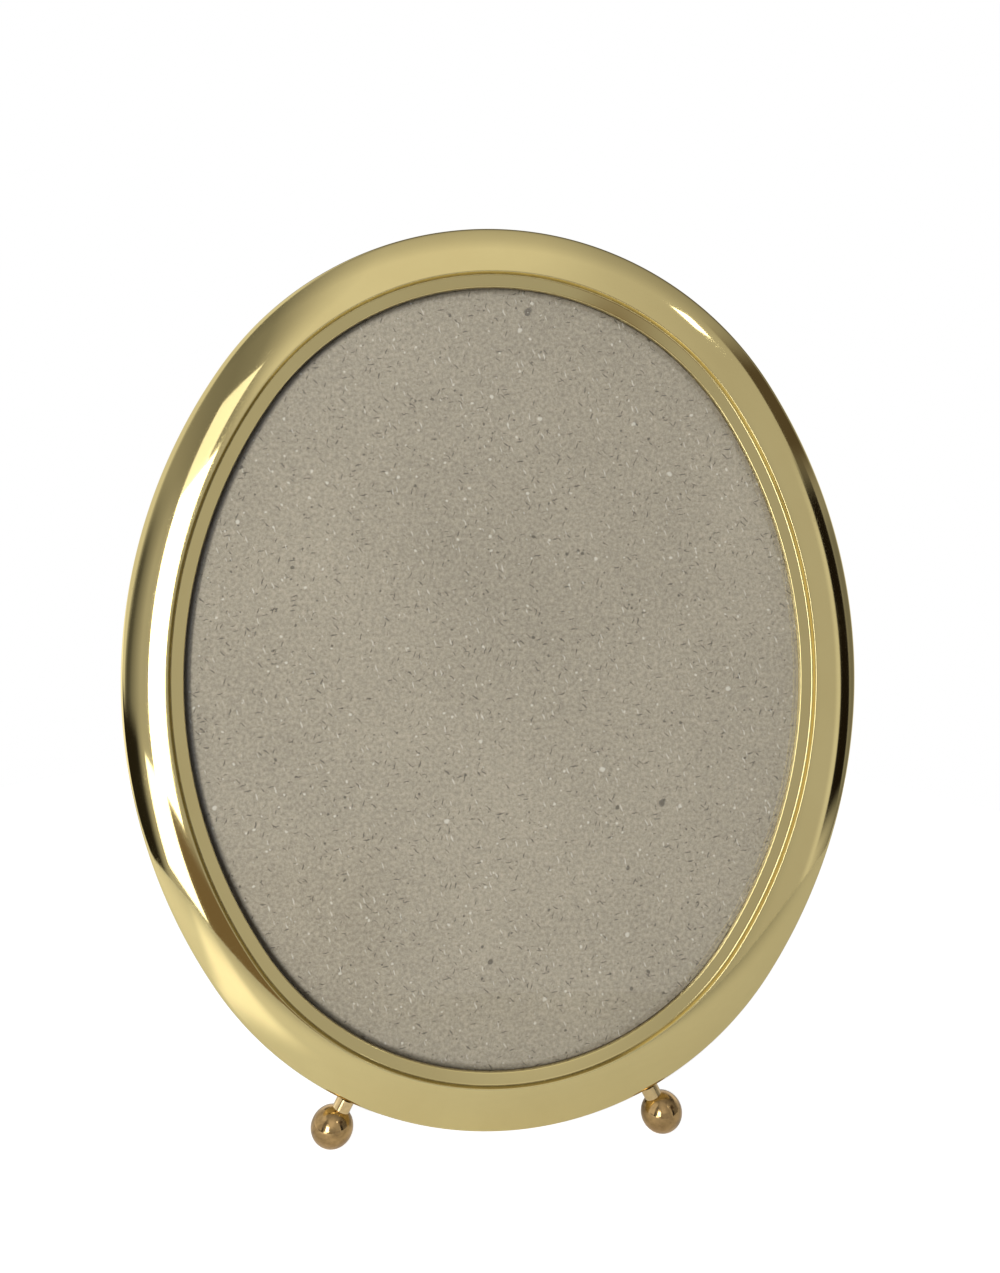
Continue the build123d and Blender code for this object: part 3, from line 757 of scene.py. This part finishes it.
# %% Tree that sets fasteners on points
setting, given, result = new_tree(
    "set_fasteners", "GeometryNodeTree",
    {"Points": "NodeSocketObject", "Fastener": "NodeSocketObject", "Slotted": "NodeSocketBool",
     "Slot Size": "NodeSocketVector", "Slot Height": "NodeSocketFloat", "Seed": "NodeSocketInt",
     "Finish": "NodeSocketMaterial"},
    {"Geometry": "NodeSocketGeometry"},
)
blank = node(setting, "GeometryNodeObjectInfo", {"Object": given["Fastener"]}).outputs["Geometry"]
points = node(setting, "GeometryNodeObjectInfo", {"Object": given["Points"]}).outputs["Geometry"]
saw = node(setting, "GeometryNodeMeshCube", {"Size": given["Slot Size"]})
raised = node(setting, "GeometryNodeTransform", {
    "Geometry": saw.outputs[0],
    "Translation": node(setting, "ShaderNodeCombineXYZ", {2: given["Slot Height"]}).outputs[0],
})
cut = node(setting, "GeometryNodeMeshBoolean", {"Mesh 1": blank, "Mesh 2": raised.outputs[0]},
           operation="DIFFERENCE")
chosen = node(setting, "GeometryNodeSwitch", {
    "Switch": given["Slotted"], "False": blank, "True": cut.outputs[0],
}, input_type="GEOMETRY")
random_turn = node(setting, "FunctionNodeRandomValue", {2: 0.0, 3: pi, 8: given["Seed"]}, data_type="FLOAT")
spin = node(setting, "ShaderNodeCombineXYZ", {2: random_turn.outputs[1]})
copies = node(setting, "GeometryNodeInstanceOnPoints", {
    "Points": points, "Instance": chosen.outputs[0], "Rotation": spin.outputs[0],
})
real = node(setting, "GeometryNodeRealizeInstances", {"Geometry": copies.outputs[0]})
coat = node(setting, "GeometryNodeSetMaterial", {"Geometry": real.outputs[0], "Material": given["Finish"]})
setting.links.new(coat.outputs[0], result["Geometry"])
print("tree:", setting.name, len(setting.nodes), "nodes")

# %% [markdown]
# The screw is a dome on a shank, and so is the rivet, with a flat clench at its far end. Both are turned
# from an outline. The rivets of the two hinge leaves ride on two bodies, so they are set apart.

# %% Set the screws and the rivets
def dome(radius, height, base, steps=9):
    crown = (radius**2 + height**2) / (2 * height)
    reach = degrees(acos((crown - height) / crown))
    top = base - height + crown
    return [(0, base - height)] + [(crown * sin(radians(a)), top - crown * cos(radians(a)))
                                   for a in (reach * i / steps for i in range(1, steps + 1))]


def set_on(name, fastener, spots, matrix, body, replaced, finish, slot_size=(0, 0, 0), slot_height=0.0):
    marks = bpy.data.meshes.new(f"{name}_points")
    marks.from_pydata([tuple(spot) for spot in spots], [], [])
    helpers = [bpy.data.objects.new(data.name, data) for data in (marks, fastener)]
    for helper in helpers:
        bpy.context.scene.collection.objects.link(helper)
    piece = grown(name, setting, {
        "Points": helpers[0], "Fastener": helpers[1], "Slotted": any(slot_size),
        "Slot Size": [v * MM for v in slot_size],
        "Slot Height": slot_height * MM, "Seed": 5, "Finish": finish,
    })
    for helper in helpers:
        bpy.data.objects.remove(helper)
    laid(piece.data, matrix)
    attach(piece, body)
    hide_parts(replaced)
    print(name, "faces:", len(piece.data.polygons))


screw = turned("slotted_screw", dome(3.0, 1.5, -1.1) + [(1.5, -1.1), (1.5, 5.2), (0, 5.2)], 40)
set_on("button_screws", screw, button_places.values(), face, "frame", "turn_button_screws",
       button_brass, (8, 0.75, 1.2), -2.55)
rivet_across = 9.4
back_rivet = turned("back_rivet", dome(2.4, 0.9, -0.8)
                    + [(1.2, -0.8), (1.2, 2.4), (2.4, 2.4), (2.4, 3.0), (0, 3.0)], 36)
set_on("back_leaf_rivets", back_rivet, [(x * MM, 57.4 * MM, 0) for x in (-rivet_across, rivet_across)], face,
       "frame", "back_rivets", hinge_brass)
strut_lean = lean - radians(26)
strut_face = Matrix.Translation(joints["strut_fold"]["pos_m"]) @ Matrix.Rotation(pi / 2 - strut_lean, 4, "X")
strut_rivet = turned("strut_rivet", dome(2.4, 0.9, -1.8)
                     + [(1.2, -1.8), (1.2, 1.2), (2.4, 1.2), (2.4, 1.8), (0, 1.8)], 36)
set_on("strut_leaf_rivets", strut_rivet, [(x * MM, -17.4 * MM, 0) for x in (-rivet_across, rivet_across)],
       strut_face, "strut", "strut_rivets", hinge_brass)

# %% [markdown]
# ## Floor, light and camera
# The camera stands where the photograph was taken, nearly square to the leaning face and a little to
# its left. Its place is given on the face, in millimetres, with its three turns.

# %% Camera
camera_data = bpy.data.cameras.new("camera")
camera_data.lens = 1066.2 / 1273 * 36
camera_data.sensor_width = 36
camera_data.clip_start = 0.01
camera = bpy.data.objects.new("camera", camera_data)
bpy.context.scene.collection.objects.link(camera)
aim = (Matrix.Rotation(radians(-0.144), 4, "Z") @ Matrix.Rotation(radians(-0.601), 4, "X")
       @ Matrix.Rotation(radians(6.208), 4, "Y"))
camera.matrix_world = face @ Matrix.Translation(Vector((-36.09, 9.4, 335.28)) * MM) @ aim.transposed()
bpy.context.scene.camera = camera
bpy.context.scene.view_settings.view_transform = "Standard"
print("camera at", tuple(round(v, 3) for v in camera.matrix_world.translation),
      "lens", round(camera_data.lens, 2))

# %% [markdown]
# Polished metal is mostly a picture of its surroundings, so the surroundings are a plain studio drawn in
# the world: a white backdrop behind, a warm ceiling, pale walls, a dark panel on the right and low dark
# ones on the left. Walls change with the direction round the object, the ceiling with the angle overhead.
# To the camera itself the world is plain white, and it fills the shadows of dull things only partly.

# %% World
world = bpy.data.worlds.new("plain_studio")
world.use_nodes = True
bpy.context.scene.world = world
tree = world.node_tree
tree.nodes.clear()
way = node(tree, "ShaderNodeSeparateXYZ", {0: node(tree, "ShaderNodeTexCoord").outputs["Generated"]})
to_front = sums(tree, "MULTIPLY", way.outputs[1], -1.0)


def shaded(value, low, high, stops):
    share = node(tree, "ShaderNodeMapRange", {
        "Value": value, "From Min": radians(low), "From Max": radians(high)}).outputs[0]
    ramp = node(tree, "ShaderNodeValToRGB", {0: share})
    points = ramp.color_ramp.elements
    while len(points) < len(stops):
        points.new(0.5)
    for point, (angle, tone) in zip(points, stops):
        point.position = (angle - low) / (high - low)
        point.color = (tone, tone * 0.99, tone * 0.97, 1)
    return ramp.outputs[0]


turn = sums(tree, "ARCTAN2", way.outputs[0], to_front)
height = way.outputs[2]
walls = shaded(turn, -180, 180, [
    (-180, 1.0), (-122, 1.1), (-112, 1.3), (-94, 1.3), (-85, 0.9), (-62, 0.75), (-58, 0.65), (-54, 0.10),
    (-51, 0.09), (-48, 0.20), (-44, 0.31), (-38, 0.48), (-12, 0.46), (0, 0.44), (18, 0.46), (26, 0.53),
    (44, 0.53), (48.5, 0.75), (53, 0.60), (66, 0.20), (95, 0.24), (118, 0.80), (180, 1.0)])
ceiling = shaded(sums(tree, "ARCTAN2", way.outputs[0], height), -90, 90, [
    (-90, 0.36), (-54, 0.34), (-44, 0.25), (-38, 0.23), (-30, 0.27), (-24, 0.45), (-18, 0.66), (-12, 0.80),
    (0, 0.80), (12, 0.78), (22, 0.62), (38, 0.53), (90, 0.53)])
fall = shaded(sums(tree, "ARCTAN2", height, to_front), 0, 180, [
    (20, 1.0), (54, 1.0), (66, 0.77), (80, 0.60), (98, 0.45), (116, 0.15), (138, 0.15), (152, 1.0),
    (165, 1.2)])
overhead = node(tree, "ShaderNodeMix", {0: 1.0, 6: ceiling, 7: fall}, data_type="RGBA",
                blend_type="MULTIPLY").outputs[2]


def between(value, low, high, soft):
    ends = [node(tree, "ShaderNodeMapRange", {"Value": value, "From Min": end - soft, "From Max": end + soft},
                 interpolation_type="SMOOTHSTEP").outputs[0] for end in (low, high)]
    return sums(tree, "SUBTRACT", *ends)


room = node(tree, "ShaderNodeMix", {0: between(height, 0.39, 2.0, 0.09), 6: walls, 7: overhead},
            data_type="RGBA").outputs[2]
patches = {  # turn from, to and softness in degrees, height from, to and softness, colour
    "wall under the window": (-22, 0, 2, -0.6, 0.02, 0.04, (0.20, 0.145, 0.09, 1)),
    "pale side wall": (-150, -57, 2, 0.05, 0.9, 0.05, (0.80, 0.79, 0.76, 1)),
    "panel's head": (53.5, 78, 0.7, 0.42, 0.68, 0.07, (0.10, 0.078, 0.055, 1)),
    "dark panel": (51.2, 63, 0.7, -0.16, 0.43, 0.05, (0.012, 0.009, 0.007, 1)),
    "low shade": (-78, -43, 3, -0.5, 0.04, 0.04, (0.02, 0.017, 0.013, 1)),
}
for left, right, turn_soft, low, high, height_soft, colour in patches.values():
    mask = sums(tree, "MULTIPLY", between(turn, radians(left), radians(right), radians(turn_soft)),
                between(height, low, high, height_soft))
    room = node(tree, "ShaderNodeMix", {0: mask, 6: room, 7: colour}, data_type="RGBA").outputs[2]
studio = node(tree, "ShaderNodeBackground", {"Color": room, "Strength": 1.0})
white = node(tree, "ShaderNodeBackground", {"Color": (1, 1, 1, 1), "Strength": 1.0})
rays = node(tree, "ShaderNodeLightPath")
dimmed = sums(tree, "MULTIPLY_ADD", rays.outputs["Is Diffuse Ray"], -0.4, 1.0)
tree.links.new(dimmed, studio.inputs["Strength"])
straight = sums(tree, "LESS_THAN", rays.outputs["Diffuse Depth"], 0.5)
through = sums(tree, "MULTIPLY", rays.outputs["Is Transmission Ray"], straight)
plain = sums(tree, "MAXIMUM", rays.outputs["Is Camera Ray"], through)
seen = node(tree, "ShaderNodeMixShader", {0: plain, 1: studio.outputs[0], 2: white.outputs[0]})
tree.links.new(seen.outputs[0], node(tree, "ShaderNodeOutputWorld").inputs[0])
print("world:", world.name)

# %% [markdown]
# The floor is a pale round table top. Its own colour takes the light and the shadow of the object, and a
# little glow that only the eye and mirrors see brings it up to the white of the backdrop. To mirrors that
# glow is painted light: window light, brighter on the left, with one painted streak of window light across
# it, and fainter far out in front.

# %% Floor
bpy.ops.mesh.primitive_circle_add(vertices=96, radius=0.42, fill_type="NGON", location=(0, -0.04, -0.0002))
floor = bpy.context.object
floor.name = "floor"
pale = bpy.data.materials.new("pale_floor")
pale.use_nodes = True
tree = pale.node_tree
shader = tree.nodes["Principled BSDF"]
place = node(tree, "ShaderNodeTexCoord").outputs["Object"]
grain = node(tree, "ShaderNodeTexNoise", {"Vector": place, "Scale": 60.0, "Detail": 4.0})
tone = node(tree, "ShaderNodeMix", {0: grain.outputs[0], 6: (0.66, 0.66, 0.65, 1), 7: (0.70, 0.70, 0.69, 1)},
            data_type="RGBA")
tree.links.new(tone.outputs[2], shader.inputs["Base Color"])
shader.inputs["Roughness"].default_value = 0.9
rays = node(tree, "ShaderNodeLightPath")


def turned_to(direction, low, high):
    along = node(tree, "ShaderNodeVectorMath", {0: place, 1: direction}, operation="DOT_PRODUCT")
    return node(tree, "ShaderNodeMapRange", {
        "Value": along.outputs["Value"], "From Min": low, "From Max": high,
    }, interpolation_type="SMOOTHSTEP").outputs[0]


near_window = turned_to((-1, 0, 0), -0.05, 0.25)
sideways = (0.866, -0.5, 0)
across_streak = sums(tree, "SUBTRACT", turned_to(sideways, -0.110, -0.085),
                     turned_to(sideways, -0.050, -0.020))
painted_light_streak = sums(tree, "MULTIPLY", turned_to((-0.5, -0.866, 0), 0.08, 0.14), across_streak)
# Painted light for mirrors: a glow of window light on the floor, brighter on the left, with a painted streak,
# fading out in front.
painted_window_light = sums(tree, "MULTIPLY_ADD", painted_light_streak, 0.5, sums(tree, "MULTIPLY_ADD", near_window, 0.22, 0.24))
painted_window_light = sums(tree, "MULTIPLY", painted_window_light, sums(tree, "SUBTRACT", 1.0, turned_to((0, -1, 0), 0.12, 0.36)))
mirrored_glow = sums(tree, "MULTIPLY", rays.outputs["Is Glossy Ray"], painted_window_light)
glow = node(tree, "ShaderNodeEmission", {
    "Color": (1, 1, 1, 1),
    "Strength": sums(tree, "MULTIPLY_ADD", rays.outputs["Is Camera Ray"], 0.88, mirrored_glow)})
lit = node(tree, "ShaderNodeAddShader", {0: shader.outputs[0], 1: glow.outputs[0]})
tree.links.new(lit.outputs[0], tree.nodes["Material Output"].inputs["Surface"])
floor.data.materials.append(pale)
print("floor:", pale.name)

# %% [markdown]
# One tall soft window on the left is the main light, and it draws the white band down the left of the
# rim. A narrow brighter strip in it throws the thin shadow of the lip on the card. A small lamp up on the
# right gives the one bright spot there. Each is placed on the face, by its direction from the part of the
# rim that shows it.

# %% Lamps
def lamp(name, start, direction, distance, width, height, radiance, mirrored=True):
    data = bpy.data.lights.new(name, "AREA")
    data.shape = "RECTANGLE"
    data.size, data.size_y = width, height
    data.energy = radiance * pi * width * height
    light = bpy.data.objects.new(name, data)
    bpy.context.scene.collection.objects.link(light)
    beam = (face.to_3x3() @ Vector(direction)).normalized()
    light.location = face @ Vector(start) + beam * distance
    light.rotation_mode = "QUATERNION"
    light.rotation_quaternion = beam.to_track_quat("Z", "Y")
    light.visible_glossy = mirrored
    print(name, "at", tuple(round(v, 2) for v in light.location), "watts", round(data.energy, 2))


def toward(turn, rise):
    level = cos(radians(rise))
    return (sin(radians(turn)) * level, sin(radians(rise)), cos(radians(turn)) * level)


lamp("window", (-0.11, 0, 0), toward(-19.8, 2), 1.2, 0.36, 0.57, 6.0)
lamp("window_head", (-0.09, 0.06, 0), toward(-22, 17.5), 1.2, 0.27, 0.26, 1.2)
lamp("window_foot", (-0.1, -0.03, 0), toward(-30.5, -15.5), 1.2, 0.33, 0.27, 3.0)
lamp("window_sun", (-0.11, 0, 0), toward(-22, 2), 1.15, 0.055, 0.7, 42.0, mirrored=False)
lamp("small_lamp", (0.07, 0.1, 0), (0.462, 0.551, 0.695), 1.4, 0.11, 0.11, 5.0)
